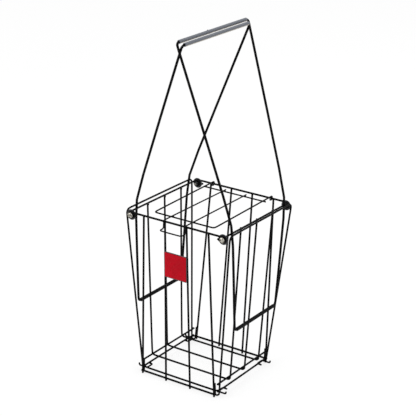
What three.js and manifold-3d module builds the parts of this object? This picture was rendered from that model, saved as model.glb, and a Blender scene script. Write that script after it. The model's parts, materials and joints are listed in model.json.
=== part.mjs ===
import * as THREE from "three";
import { mergeVertices } from "three/addons/utils/BufferGeometryUtils.js";
import Module from "manifold-3d";

// A wire hopper that picks up and carries tennis balls.
// A tapered basket of coated steel wire is pressed down over the balls, which squeeze up between its floor bars.
// A wire lid is hinged on the back rim, and two handle loops slide up and down in slots in the side walls.
// Millimetres, +Z up, the front faces -Y, and the floor is at z = 0.

// Wires
const frameWire = 4.2;
const panelWire = 4;
const lidWire = 3.2;
const handleWire = 5;
const catchWire = 3.4;
const clearance = 0.3;
const buttGap = 0.5;
const wireSides = 10;
const frameSides = 12;
const bendStep = Math.PI / 8;
const sameStation = 0.02;

// Basket
const rimHeight = 377;
const railHeight = 28;
const basketDepth = 252;
const frameWidth = 256;
const panelTaper = 22;
const sideTaper = 29.5;
const frameBend = 11;
const railOverhang = 0.6;

// Hairpin feet of the side frames, askew by their splay and their setback
const footRise = 31;
const hairpinSplay = 6;
const hairpinSetback = 5.6;

// Front and back panels
const innerUprightTop = 26.7;
const innerUprightFoot = 31;
const outerUprightTop = 80;
const bottomWireHeight = 6;
const bottomWireOverhang = 3;
const rimEyeRadius = 6.4;
const rimEyeTail = 12;
const rimEyeLift = Math.PI / 5;

// Guide wires along the tops of the side walls
const slotPlay = 0.65;
const guideBend = 4;
const guideEyeRadius = 5.8;
const guideEyeTail = 4.6;

// Floor hoops
const hoopSpacingTop = 62;
const hoopSpacingFloor = 57;
const hoopBend = 8;

// Base ring and its catches
const ringHeight = 11;
const ringBend = 10;
const catchInset = 7;
const catchPitch = 20;
const catchReach = 15;
const catchCurl = 5;
const catchStub = 5;
const catchTuck = 4;
const catchBend = 3;

// Corner bolts, with their washers and nuts
const boltDrop = 8.4;
const boltSize = 5;
const boltHead = 13;
const boltDome = 4.4;
const boltRim = 0.8;
const boltTip = 2;
const boltChamfer = 0.6;
const washerThickness = 1;
const nutAcrossFlats = 8;
const nutThickness = 4;
const boltSides = 16;
const domeSteps = 5;

// Lid
const lidWidth = 149;
const frontBarSetback = 29;
const rearBarSetback = 28;
const lidBend = 7;
const hingePlay = 0.5;
const hingeTail = 5;
const hingeLift = Math.PI / 9;
const latchWidthRear = 52;
const latchWidthFront = 54;
const latchDrop = 18;
const latchLip = 15;
const latchGap = 1;
const latchBend = 4;
const lipBend = 6;
const latchTail = 4;

// Handles
const crossbarHeight = 154;
const crossbarSetback = 44.5;
const crossbarSleeve = 8;
const sleeveBoreGap = 0.3;
const kneeHeight = 14;
const kneeBend = 50;
const kneeSetback = 22.5;
const gripHeight = 377;
const gripOverhang = 5.5;
const nestingSide = 6;
const nestingTop = 5.5;
const gripOffset = 4.75;
const gripSize = 8;
const gripRound = 0.9;
const handleBend = 8;

// Badge plate with its snap hooks
const badgeWidth = 56.5;
const badgeHeight = 58.5;
const badgeDrop = 68;
const badgeThickness = 1.4;
const badgeCorner = 2.5;
const hookLength = 9;
const hookWall = 1.2;
const hookInset = 9;
const hookReach = 2.6;

// Places that follow from those sizes
const lap = panelWire / 2 + frameWire / 2 + clearance;
const panelFootY = basketDepth / 2 - panelTaper;
const cornerFootX = frameWidth / 2 - sideTaper;
const outerUprightFoot = cornerFootX - hairpinSplay;
const panelY = (z) => taper(basketDepth / 2, panelFootY, z);
const cornerX = (z) => taper(frameWidth / 2, cornerFootX, z);
const cornerY = (z) => taper(basketDepth / 2 - lap, panelFootY - lap - hairpinSetback, z);
const panelTop = rimHeight - boltDrop + rimEyeRadius;
const boltZ = rimHeight - boltDrop;
const guideZ = boltZ + guideEyeRadius;
const legX = frameWidth / 2 - frameWire / 2 - slotPlay - handleWire / 2;
const guideX = legX - handleWire / 2 - slotPlay - panelWire / 2;
const boltX = guideX - guideBend;
const railX = cornerX(railHeight) - lap;
const hoopSeat = hoopBend - (hoopBend - panelWire - clearance) / Math.SQRT2;
const hoopBarHeight = railHeight - hoopSeat;
const hoopFloorX = railX + hoopSeat;
const hoopTopX = legX - crossbarSleeve / 2 - clearance - panelWire / 2;
const hoopTopZ = guideZ - panelWire - clearance + panelWire / 2;
const washerY = basketDepth / 2 - panelWire / 2 - clearance;
const guideEyeY = washerY - washerThickness - clearance - panelWire / 2;
const nutY = guideEyeY - panelWire / 2 - clearance;
const headY = basketDepth / 2 + panelWire / 2 + clearance;
const lidArmX = lidWidth / 2;
const hingeRadius = panelWire / 2 + hingePlay + lidWire / 2;
const lidStack = lidWire + clearance;
const frontBarY = -basketDepth / 2 + frontBarSetback;
const rearBarY = basketDepth / 2 - rearBarSetback;
const latchTop = panelTop + panelWire / 2 + clearance + lidWire / 2;
const latchFrontY = basketDepth / 2 + panelWire / 2 + latchGap + lidWire / 2;
const crossbarLength = basketDepth - 2 * crossbarSetback;

// The model is centred front to back on the span from the finger lip to the rear bolt heads
const frontReach = latchFrontY + latchLip + lidWire / 2;
const backReach = headY + boltDome;
const middleShift = (frontReach - backReach) / 2;

// Finishes
const coatedWire = finish(0x1a1b1d, 0.42, 0.1);
const chrome = finish(0xd8dadd, 0.15, 1);
const darkSteel = finish(0x2a2b2d, 0.5, 0.6);
const greyGrip = finish(0x6e7687, 0.7, 0);
const blackSleeve = finish(0x222326, 0.75, 0);
const redPlastic = finish(0xc8102e, 0.4, 0);

function finish(color, roughness, metalness) {
  return new THREE.MeshStandardMaterial({ color, roughness, metalness });
}

// The size of the walls at height z, from its values at the rim and on the floor
function taper(atRim, atFloor, z) {
  return atFloor + ((atRim - atFloor) * z) / rimHeight;
}

function point(x, y, z) {
  return new THREE.Vector3(x, y, z);
}

// A corner of a wire: the point where its straight runs would meet, and the radius of the bend there
function corner(x, y, z, bend = 0) {
  return { at: point(x, y, z), bend };
}

// The centre line of a bent wire, as stations on its straight ends and round its bends
class WirePath extends THREE.Curve {
  constructor(corners, cuts = {}) {
    super();
    this.stations = [];
    const last = corners.length - 1;
    corners.forEach((c, i) => {
      if (i === 0) this.add(c.at, towards(c.at, corners[1].at));
      else if (i === last) this.add(c.at, towards(corners[last - 1].at, c.at));
      else this.addBend(corners[i - 1].at, c, corners[i + 1].at);
    });
    if (cuts.start) this.stations[0].along = cuts.start;
    if (cuts.end) this.stations[this.steps].along = cuts.end;
  }

  get steps() {
    return this.stations.length - 1;
  }

  add(at, along) {
    const before = this.stations[this.stations.length - 1];
    if (before && before.at.distanceTo(at) < sameStation) return;
    this.stations.push({ at: at.clone(), along: along.clone() });
  }

  addBend(before, { at, bend }, after) {
    const arriving = towards(before, at);
    const leaving = towards(at, after);
    const turn = arriving.angleTo(leaving);
    const run = bend * Math.tan(turn / 2);
    const middle = leaving.clone().sub(arriving).normalize();
    const centre = at.clone().addScaledVector(middle, bend / Math.cos(turn / 2));
    const axis = arriving.clone().cross(leaving).normalize();
    const spoke = at.clone().addScaledVector(arriving, -run).sub(centre);
    const steps = Math.max(1, Math.ceil(turn / bendStep));
    for (let i = 0; i <= steps; i++) {
      const angle = (turn * i) / steps;
      this.add(centre.clone().add(spoke.clone().applyAxisAngle(axis, angle)), arriving.clone().applyAxisAngle(axis, angle));
    }
  }

  getPoint(t, target = new THREE.Vector3()) {
    const place = t * this.steps;
    const i = Math.min(Math.floor(place), this.steps - 1);
    return target.copy(this.stations[i].at).lerp(this.stations[i + 1].at, place - i);
  }

  getTangent(t, target = new THREE.Vector3()) {
    return target.copy(this.stations[Math.round(t * this.steps)].along);
  }

  // Stations are taken as they are, not respaced along the wire
  getUtoTmapping(u) {
    return u;
  }
}

function towards(from, to) {
  return to.clone().sub(from).normalize();
}

// A round wire of a given size along its corners; a cut is the direction that an end face looks along
function wire(size, corners, cuts, sides = wireSides) {
  const path = new WirePath(corners, cuts);
  const section = new THREE.Shape();
  for (let i = 0; i < sides; i++) {
    const angle = (2 * Math.PI * i) / sides;
    const x = (Math.cos(angle) * size) / 2;
    const y = (Math.sin(angle) * size) / 2;
    if (i) section.lineTo(x, y);
    else section.moveTo(x, y);
  }
  return new THREE.ExtrudeGeometry(section, { steps: path.steps, extrudePath: path, bevelEnabled: false });
}

// Boolean joins
const wasm = await Module();
wasm.setup();

function solid(geometry) {
  const bare = geometry.clone();
  bare.deleteAttribute("normal");
  bare.deleteAttribute("uv");
  const merged = mergeVertices(bare);
  return new wasm.Manifold(
    new wasm.Mesh({
      numProp: 3,
      vertProperties: merged.attributes.position.array,
      triVerts: new Uint32Array(merged.index.array),
    }),
  );
}

function joined(geometries) {
  const whole = geometries.map(solid).reduce((sum, next) => sum.add(next)).getMesh();
  const geometry = new THREE.BufferGeometry();
  geometry.setAttribute("position", new THREE.BufferAttribute(new Float32Array(whole.vertProperties), 3));
  geometry.setIndex(new THREE.BufferAttribute(new Uint32Array(whole.triVerts), 1));
  geometry.computeVertexNormals();
  return geometry;
}

function piece(name, geometry, material) {
  const mesh = new THREE.Mesh(geometry, material);
  mesh.name = name;
  return mesh;
}

const model = new THREE.Group();
model.position.y = middleShift;

// The foot of a side frame is a hairpin, set askew: its inner leg stands behind the panel's outer upright
const hairpinX = (z) => outerUprightFoot + ((outerUprightTop - outerUprightFoot) * z) / panelTop;
const hairpinY = (z) => panelY(z) - lap;

// A side frame is one wire: foot, corner, top bar over the side wall, corner and foot
function sideFrame(side) {
  const low = frameWire / 2;
  const foot = (end) => {
    const inner = (z, bend) => corner(side * hairpinX(z), end * hairpinY(z), z, bend);
    const outer = corner(side * cornerX(low), end * cornerY(low), low);
    outer.bend = inner(low).at.distanceTo(outer.at) / 2;
    return [inner(footRise), inner(low, outer.bend), outer];
  };
  const top = (end) => corner((side * frameWidth) / 2, end * cornerY(rimHeight), rimHeight, frameBend);
  const corners = [...foot(-1), top(-1), top(1), ...foot(1).reverse()];
  return wire(frameWire, corners, {}, frameSides);
}

// The inner wire of the handle slot, bent round a corner bolt at each end
function guideWire(side) {
  const eye = (end) => {
    const y = end * guideEyeY;
    const near = side * (boltX + guideEyeRadius);
    const far = side * (boltX - guideEyeRadius);
    const low = boltZ - guideEyeRadius;
    return [
      corner(side * guideX, y, guideZ, guideBend),
      corner(far, y, guideZ, guideEyeRadius),
      corner(far, y, low, guideEyeRadius),
      corner(near, y, low, guideEyeRadius),
      corner(near, y, low + guideEyeTail + sameStation, 0),
    ];
  };
  return wire(panelWire, [...eye(-1).reverse(), ...eye(1)]);
}

function bottomRail(side) {
  const reach = cornerY(railHeight) + frameWire / 2 + railOverhang;
  return wire(panelWire, [corner(side * railX, -reach, railHeight), corner(side * railX, reach, railHeight)]);
}

// A floor hoop is a U: down one side wall, under both rails and up the other side wall
function floorHoop(place) {
  const top = (side) => corner(side * hoopTopX, place * hoopSpacingTop, hoopTopZ);
  const low = (side) => corner(side * hoopFloorX, place * hoopSpacingFloor, hoopBarHeight, hoopBend);
  const level = point(0, 0, 1);
  return wire(panelWire, [top(-1), low(-1), low(1), top(1)], { start: level.clone().negate(), end: level });
}

// A panel: a rim wire with an eye round each corner bolt, four uprights down to the floor and a bottom wire
function wallPanel(end) {
  const wallAt = (z) => end * panelY(z);
  const eye = (side) => {
    const out = side * (boltX + rimEyeRadius);
    const y = wallAt(rimHeight);
    const low = boltZ - rimEyeRadius;
    const lift = rimEyeRadius * Math.tan(rimEyeLift / 2);
    const x = side * (boltX - lift);
    return [
      corner(out, y, panelTop, rimEyeRadius),
      corner(out, y, low, rimEyeRadius),
      corner(x, y, low, rimEyeRadius),
      corner(x - side * rimEyeTail * Math.cos(rimEyeLift), y, low + rimEyeTail * Math.sin(rimEyeLift)),
    ];
  };
  const rim = wire(panelWire, [...eye(-1).reverse(), ...eye(1)]);
  const flat = { start: point(0, 0, 1), end: point(0, 0, 1) };
  const upright = (footX, topX) =>
    wire(panelWire, [corner(footX, wallAt(0), 0), corner(topX, wallAt(panelTop), panelTop)], flat);
  const reach = outerUprightFoot + bottomWireOverhang;
  const low = wire(panelWire, [
    corner(-reach, wallAt(bottomWireHeight), bottomWireHeight),
    corner(reach, wallAt(bottomWireHeight), bottomWireHeight),
  ]);
  const uprights = [-1, 1].flatMap((side) => [
    upright(side * innerUprightFoot, side * innerUprightTop),
    upright(side * outerUprightFoot, side * outerUprightTop),
  ]);
  return joined([rim, ...uprights, low]);
}

// The ring that ties the four feet together, butted in the middle of its back run
// Each of its bends lies against both legs of a hairpin
const innerLeg = new THREE.Vector2(hairpinX(ringHeight), hairpinY(ringHeight));
const outerLeg = new THREE.Vector2(cornerX(ringHeight), cornerY(ringHeight));
const legGap = innerLeg.distanceTo(outerLeg) / 2;
const legMiddle = innerLeg.clone().add(outerLeg).divideScalar(2);
const inwards = new THREE.Vector2(outerLeg.y - innerLeg.y, innerLeg.x - outerLeg.x).normalize();
const bendCentre = legMiddle.addScaledVector(inwards, Math.sqrt((ringBend + lap) ** 2 - legGap ** 2));
const ringX = bendCentre.x + ringBend;
const ringY = bendCentre.y + ringBend;

function baseRing() {
  const at = (x, y, bend) => corner(x, y, ringHeight, bend);
  return wire(panelWire, [
    at(buttGap / 2, ringY),
    at(ringX, ringY, ringBend),
    at(ringX, -ringY, ringBend),
    at(-ringX, -ringY, ringBend),
    at(-ringX, ringY, ringBend),
    at(-buttGap / 2, ringY),
  ]);
}

// A catch under the base ring: a long prong with its tip turned up, and a short blunt one
function ringCatch(side, end) {
  const z = ringHeight - panelWire / 2 - clearance - catchWire / 2;
  const longY = end * (ringY - catchInset);
  const shortY = end * (ringY - catchInset - catchPitch);
  const inner = side * (ringX - panelWire / 2 - catchTuck);
  return wire(catchWire, [
    corner(side * (ringX + catchReach), longY, z + catchCurl),
    corner(side * (ringX + catchReach), longY, z, catchBend),
    corner(inner, longY, z, catchBend),
    corner(inner, shortY, z, catchBend),
    corner(side * (ringX + catchStub), shortY, z),
  ]);
}

// Corner fastenings, turned about Y: dome head outside, shank through both eyes
function boltGeometry() {
  const length = headY - nutY + nutThickness + clearance + boltTip;
  const shank = boltSize / 2;
  const head = boltHead / 2;
  const profile = [
    [0, -length],
    [shank - boltChamfer, -length],
    [shank, -length + boltChamfer],
    [shank, 0],
    [head, 0],
  ];
  for (let i = 0; i <= domeSteps; i++) {
    const angle = (Math.PI / 2) * (i / domeSteps);
    profile.push([head * Math.cos(angle), boltRim + (boltDome - boltRim) * Math.sin(angle)]);
  }
  profile[profile.length - 1][0] = 0;
  return new THREE.LatheGeometry(
    profile.map(([r, y]) => new THREE.Vector2(r, y)),
    boltSides,
  );
}

function washerGeometry() {
  const outer = cornerX(boltZ) - frameWire / 2 - clearance - boltX;
  const bore = boltSize / 2 + clearance;
  const profile = [
    [bore, 0],
    [outer, 0],
    [outer, washerThickness],
    [bore, washerThickness],
    [bore, 0],
  ];
  return new THREE.LatheGeometry(
    profile.map(([r, y]) => new THREE.Vector2(r, y)),
    boltSides,
  );
}

function nutGeometry() {
  const outline = new THREE.Shape();
  const reach = nutAcrossFlats / Math.sqrt(3);
  for (let i = 0; i < 6; i++) {
    const angle = (Math.PI / 3) * i;
    if (i) outline.lineTo(reach * Math.cos(angle), reach * Math.sin(angle));
    else outline.moveTo(reach * Math.cos(angle), reach * Math.sin(angle));
  }
  const bore = new THREE.Path().absarc(0, 0, boltSize / 2 + clearance, 0, 2 * Math.PI, true);
  outline.holes.push(bore);
  const nut = new THREE.ExtrudeGeometry(outline, {
    depth: nutThickness,
    bevelEnabled: false,
    curveSegments: boltSides / 2,
  });
  return nut.rotateX(-Math.PI / 2);
}

// A piece turned about Y at a corner bolt; its own +Y looks out of the basket there
function atBolt(name, geometry, material, side, end, outwards) {
  const mesh = piece(name, geometry, material);
  mesh.position.set(side * boltX, end * outwards, boltZ);
  if (end < 0) mesh.rotation.z = Math.PI;
  return mesh;
}

// The lid's outer wire: a U with an eye round the back rim at each end
const lidHingeZ = panelTop + hingeRadius;
const lidFrontZ = latchTop - lidStack;
const lidZ = (y) => lidFrontZ + ((lidHingeZ - lidFrontZ) * (y - frontBarY)) / (basketDepth / 2 - frontBarY);

function lidFrame() {
  const eye = (side) => {
    const x = side * lidArmX;
    const back = basketDepth / 2 + hingeRadius;
    const low = panelTop - hingeRadius;
    const lift = hingeRadius * Math.tan(hingeLift / 2);
    const y = basketDepth / 2 - lift;
    return [
      corner(x, back, lidHingeZ, hingeRadius),
      corner(x, back, low, hingeRadius),
      corner(x, y, low, hingeRadius),
      corner(x, y - hingeTail * Math.cos(hingeLift), low + hingeTail * Math.sin(hingeLift)),
    ];
  };
  return wire(lidWire, [
    ...eye(-1).reverse(),
    corner(-lidArmX, frontBarY, lidFrontZ, lidBend),
    corner(lidArmX, frontBarY, lidFrontZ, lidBend),
    ...eye(1),
  ]);
}

function lidRearBar() {
  const z = lidZ(rearBarY) - lidStack;
  const reach = lidArmX + lidWire;
  return wire(lidWire, [corner(-reach, rearBarY, z), corner(reach, rearBarY, z)]);
}

// The latch wire crosses the lid, drops in front of the rim and turns out as a finger lip
function lidLatchWire() {
  const low = latchTop - latchDrop;
  const half = (side) => [
    corner((side * latchWidthRear) / 2, rearBarY + latchTail, lidZ(rearBarY)),
    corner((side * latchWidthFront) / 2, -latchFrontY, latchTop, latchBend),
    corner((side * latchWidthFront) / 2, -latchFrontY, low, latchBend),
    corner((side * latchWidthFront) / 2, -latchFrontY - latchLip, low, lipBend),
  ];
  return wire(lidWire, [...half(-1), ...half(1).reverse()]);
}

// A handle is one closed loop of wire: crossbar outside the wall, legs up through the slot, grip over the lid
function handleWireGeometry(side, kneeY, gripY, gripZ) {
  const half = (end) => [
    corner(side * legX, (end * buttGap) / 2, crossbarHeight),
    corner(side * legX, (end * crossbarLength) / 2, crossbarHeight, handleBend),
    corner(side * legX, end * kneeY, rimHeight + kneeHeight, kneeBend),
    corner(-side * gripOffset, end * gripY, gripZ, handleBend),
  ];
  return wire(handleWire, [...half(-1), ...half(1).reverse()], {}, frameSides);
}

// A tube round a run of the handle wire, along Y, with rounded ends
function sleeveGeometry(size, length) {
  const bore = handleWire / 2 + sleeveBoreGap;
  const outer = size / 2;
  const end = length / 2;
  const profile = [
    [bore, -end],
    [outer - gripRound, -end],
    [outer, -end + gripRound],
    [outer, end - gripRound],
    [outer - gripRound, end],
    [bore, end],
    [bore, -end],
  ];
  return new THREE.LatheGeometry(
    profile.map(([r, y]) => new THREE.Vector2(r, y)),
    boltSides,
  );
}

// A nested handle passes inside the other one
function handle(name, side, nested) {
  const kneeY = basketDepth / 2 - kneeSetback - nested * nestingSide;
  const gripY = basketDepth / 2 + gripOverhang - nested * nestingSide;
  const gripZ = rimHeight + gripHeight - nested * nestingTop;
  const group = new THREE.Group();
  group.add(piece(name + "_handle_wire", handleWireGeometry(side, kneeY, gripY, gripZ), coatedWire));
  const sleeve = piece(
    name + "_crossbar_sleeve",
    sleeveGeometry(crossbarSleeve, crossbarLength - 2 * handleBend),
    blackSleeve,
  );
  sleeve.position.set(side * legX, 0, crossbarHeight);
  const grip = piece(name + "_grip", sleeveGeometry(gripSize, 2 * (gripY - handleBend)), greyGrip);
  grip.position.set(-side * gripOffset, 0, gripZ);
  group.add(sleeve, grip);
  return group;
}

// The badge: a plain moulded plate whose four hooks snap round the two middle uprights of the front panel
function badgePlate() {
  const w = badgeWidth / 2;
  const h = badgeHeight / 2;
  const outline = new THREE.Shape();
  outline.moveTo(-w + badgeCorner, -h);
  outline.lineTo(w - badgeCorner, -h);
  outline.absarc(w - badgeCorner, -h + badgeCorner, badgeCorner, -Math.PI / 2, 0);
  outline.absarc(w - badgeCorner, h - badgeCorner, badgeCorner, 0, Math.PI / 2);
  outline.absarc(-w + badgeCorner, h - badgeCorner, badgeCorner, Math.PI / 2, Math.PI);
  outline.absarc(-w + badgeCorner, -h + badgeCorner, badgeCorner, Math.PI, 1.5 * Math.PI);
  const plate = new THREE.ExtrudeGeometry(outline, { depth: badgeThickness, bevelEnabled: false, curveSegments: 2 });
  return plate.rotateX(Math.PI / 2);
}

function badgeHook(side, wireX) {
  const inner = wireX - panelWire / 2 - clearance;
  const back = panelWire + 2 * clearance;
  const outline = new THREE.Shape();
  outline.moveTo(side * (inner - hookWall), -clearance);
  outline.lineTo(side * inner, -clearance);
  outline.lineTo(side * inner, back);
  outline.lineTo(side * (inner + hookReach), back);
  outline.lineTo(side * (inner + hookReach), back + hookWall);
  outline.lineTo(side * (inner - hookWall), back + hookWall);
  return new THREE.ExtrudeGeometry(outline, { depth: hookLength, bevelEnabled: false });
}

function badge() {
  const lean = Math.atan(panelTaper / rimHeight);
  const middle = rimHeight - badgeDrop - badgeHeight / 2;
  const uprightAt = (z) => innerUprightFoot + ((innerUprightTop - innerUprightFoot) * z) / panelTop;
  const hooks = [-1, 1].flatMap((side) =>
    [-1, 1].map((up) => {
      const offset = up * (badgeHeight / 2 - hookInset);
      return badgeHook(side, uprightAt(middle + offset)).translate(0, 0, offset - hookLength / 2);
    }),
  );
  const mesh = piece("badge_plate", joined([badgePlate(), ...hooks]), redPlastic);
  mesh.position.set(0, -panelY(middle) - (panelWire / 2 + clearance) / Math.cos(lean), middle);
  mesh.rotation.x = lean;
  return mesh;
}

// Assembly
const sides = [
  ["left", -1],
  ["right", 1],
];
const ends = [
  ["front", -1],
  ["back", 1],
];
for (const [sideName, side] of sides) {
  model.add(
    piece(sideName + "_side_frame", sideFrame(side), coatedWire),
    piece(sideName + "_guide_wire", guideWire(side), coatedWire),
    piece(sideName + "_bottom_rail", bottomRail(side), coatedWire),
  );
  for (const [endName, end] of ends) {
    const place = endName + "_" + sideName;
    model.add(
      atBolt("corner_bolt_" + place, boltGeometry(), chrome, side, end, headY),
      atBolt("corner_washer_" + place, washerGeometry(), darkSteel, side, end, washerY - washerThickness),
      atBolt("corner_nut_" + place, nutGeometry(), darkSteel, side, end, nutY - nutThickness),
      piece("ring_catch_" + place, ringCatch(side, end), coatedWire),
    );
  }
}
for (const [endName, end] of ends) model.add(piece(endName + "_panel", wallPanel(end), coatedWire));
for (const [name, place] of [...ends, ["middle", 0]]) {
  model.add(piece("floor_hoop_" + name, floorHoop(place), coatedWire));
}
model.add(
  piece("base_ring", baseRing(), coatedWire),
  badge(),
  piece("lid_frame", lidFrame(), coatedWire),
  piece("lid_rear_bar", lidRearBar(), coatedWire),
  piece("lid_latch_wire", lidLatchWire(), coatedWire),
  handle("right", 1, 0),
  handle("left", -1, 1),
);

export default model;
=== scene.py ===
"""A wire tennis ball hopper: the coating, grips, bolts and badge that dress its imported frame."""

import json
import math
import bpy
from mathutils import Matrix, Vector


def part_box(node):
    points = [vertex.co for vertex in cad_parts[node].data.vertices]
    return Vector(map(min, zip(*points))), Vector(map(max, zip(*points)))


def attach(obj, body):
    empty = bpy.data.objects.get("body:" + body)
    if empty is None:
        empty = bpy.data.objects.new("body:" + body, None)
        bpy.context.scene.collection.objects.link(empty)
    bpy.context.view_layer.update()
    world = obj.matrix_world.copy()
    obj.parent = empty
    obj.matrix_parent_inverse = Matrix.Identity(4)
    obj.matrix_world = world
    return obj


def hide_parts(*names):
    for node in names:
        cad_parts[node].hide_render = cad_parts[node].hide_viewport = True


bl_info = {
    "name": "Ball hopper",
    "version": (1, 0, 0),
    "blender": (4, 5, 0),
    "location": "3D View > Sidebar > Hopper",
    "description": "Coated wire, grips, bolts, badge and studio of a tennis ball hopper",
    "category": "Object",
}

import bmesh
import bpy
from mathutils import Matrix, Vector

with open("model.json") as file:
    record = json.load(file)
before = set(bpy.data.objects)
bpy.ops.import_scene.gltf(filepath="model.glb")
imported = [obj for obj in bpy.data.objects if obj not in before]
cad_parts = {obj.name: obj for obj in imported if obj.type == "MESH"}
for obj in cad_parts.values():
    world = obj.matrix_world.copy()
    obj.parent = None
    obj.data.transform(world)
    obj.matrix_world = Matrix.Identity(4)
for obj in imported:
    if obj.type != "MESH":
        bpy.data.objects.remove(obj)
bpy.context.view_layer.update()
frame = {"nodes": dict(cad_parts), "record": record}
NODES = frame["nodes"]
BODY_OF = {name: body for body, names in frame["record"]["behaviour"]["bodies"].items() for name in names}

MM = 0.001
X = Vector((1, 0, 0))
Y = Vector((0, 1, 0))
Z = Vector((0, 0, 1))
SIDES = ("left", "right")
ENDS = ("front", "back")
CORNERS = tuple(f"{end}_{side}" for end in ENDS for side in SIDES)
# Each floor hoop, with the way that its sides lean as they rise
HOOPS = {"front": -1, "middle": 0, "back": 1}
SIDE_WIRES = ("side_frame", "guide_wire", "bottom_rail", "handle_wire")
WIRE_NODES = (
    tuple(f"{side}_{wire}" for side in SIDES for wire in SIDE_WIRES)
    + tuple(f"floor_hoop_{place}" for place in HOOPS)
    + tuple(f"ring_catch_{corner}" for corner in CORNERS)
    + ("base_ring", "lid_frame", "lid_rear_bar", "lid_latch_wire")
)


def middle(name):
    """The middle of a node's box."""
    low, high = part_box(name)
    return (low + high) / 2


def side_sign(name):
    return -1 if "left" in name else 1


def end_sign(name):
    return -1 if "front" in name else 1


# Materials


def srgb(hex_colour):
    """A linear colour from an sRGB hex value."""
    channels = [int(hex_colour[i : i + 2], 16) / 255 for i in (1, 3, 5)]
    return [c / 12.92 if c <= 0.04045 else ((c + 0.055) / 1.055) ** 2.4 for c in channels] + [1.0]


def grey(level):
    """A number as the grey that carries it through a ramp."""
    return (level, level, level, 1)


def per_mm(size):
    """The scale of a pattern on coordinates in metres, from its feature size in millimetres."""
    return 1 / (size * MM)


def link(tree, target, links):
    """Links each output into the socket of a node that it is listed under."""
    for key, source in links.items():
        tree.links.new(source, target.inputs[key])


def node(tree, kind, settings=None, links=None, stops=(), **properties):
    """Adds a node with its socket settings, the links into it, a ramp's stops and its properties."""
    new = tree.nodes.new(kind)
    for key, value in properties.items():
        setattr(new, key, value)
    for key, value in (settings or {}).items():
        new.inputs[key].default_value = value
    link(tree, new, links or {})
    for number, (place, colour) in enumerate(stops):
        new.color_ramp.elements[number].position = place
        new.color_ramp.elements[number].color = colour
    return new


NOISE = "ShaderNodeTexNoise"
RAMP = "ShaderNodeValToRGB"
BUMP = "ShaderNodeBump"


def new_material(name, shader):
    """A material with an empty tree, its Principled shader with these settings, and its coordinates."""
    material = bpy.data.materials.new(name)
    material.use_nodes = True
    tree = material.node_tree
    tree.nodes.clear()
    principled = node(tree, "ShaderNodeBsdfPrincipled", shader)
    node(tree, "ShaderNodeOutputMaterial", links={"Surface": principled.outputs["BSDF"]})
    at = node(tree, "ShaderNodeTexCoord").outputs["Object"]
    return material, tree, principled, at


def coated_wire_material(settings):
    """Dipped black vinyl over steel wire: a soft sheen, slight orange peel and rubbed grey high spots."""
    material, tree, principled, at = new_material(
        "dipped_vinyl_coating",
        {"IOR": 1.46, "Specular IOR Level": 0.04, "Coat Weight": 0.015, "Coat Roughness": 0.25},
    )
    # Slow variation of the coating's thickness, a hand's width apart
    drift = node(tree, NOISE, {"Scale": per_mm(45), "Detail": 3}, {"Vector": at}).outputs["Fac"]
    # Orange peel of the dip, drawn at 1.4 mm so that it still shows
    peel = node(tree, NOISE, {"Scale": per_mm(1.4), "Detail": 2}, {"Vector": at}).outputs["Fac"]
    # Scuffs where hands and the ground rub, a few millimetres long
    scuff = node(tree, NOISE, {"Scale": per_mm(7), "Detail": 6}, {"Vector": at}).outputs["Fac"]
    thick = settings.wire_colour
    thin = [c * 0.72 for c in thick[:3]] + [1]
    coat = node(tree, RAMP, links={"Fac": drift}, stops=[(0.35, thin), (0.65, thick)])
    rubbed = node(tree, RAMP, links={"Fac": scuff}, stops=[(0.62, grey(0)), (0.74, grey(1))])
    rough = node(tree, RAMP, links={"Fac": scuff}, stops=[(0.4, grey(0.34)), (0.72, grey(0.55))])
    bump = node(tree, BUMP, {"Strength": 0.5, "Distance": 0.05 * MM}, {"Height": peel})
    colour = node(
        tree,
        "ShaderNodeMix",
        {"B": settings.wire_scuff},
        {"Factor": rubbed.outputs["Color"], "A": coat.outputs["Color"]},
        data_type="RGBA",
    )
    link(tree, principled, {"Base Color": colour.outputs["Result"], "Roughness": rough.outputs["Color"]})
    link(tree, principled, {"Normal": bump.outputs["Normal"]})
    return material


def chrome_material(settings):
    """Zinc-chromed steel, pressed: a dull mirror with painted dark reflections in patches, faint die marks,
    and flanks darkened by a near-black edge tint as a painted reflection.
    """
    # The near-black edge tint darkens the dome's flanks: a painted dark reflection
    material, tree, principled, at = new_material(
        "pressed_chromed_steel", {"Metallic": 1.0, "Specular Tint": grey(0.05)}
    )
    # Painted reflection: dark patches some 3 mm across mottle the plating
    dark_reflection = node(tree, NOISE, {"Scale": per_mm(3), "Detail": 1}, {"Vector": at}).outputs["Fac"]
    haze = node(tree, NOISE, {"Scale": per_mm(4), "Detail": 4}, {"Vector": at}).outputs["Fac"]
    marks = node(tree, NOISE, {"Scale": per_mm(0.8), "Detail": 2}, {"Vector": at}).outputs["Fac"]
    stops = [(0.4, settings.bolt_dark_reflection), (0.54, settings.bolt_colour)]
    colour = node(tree, RAMP, links={"Fac": dark_reflection}, stops=stops)
    rough = node(tree, RAMP, links={"Fac": haze}, stops=[(0.35, grey(0.1)), (0.7, grey(0.26))])
    bump = node(tree, BUMP, {"Strength": 0.35, "Distance": 0.02 * MM}, {"Height": marks})
    link(tree, principled, {"Base Color": colour.outputs["Color"], "Roughness": rough.outputs["Color"]})
    link(tree, principled, {"Normal": bump.outputs["Normal"]})
    return material


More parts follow.
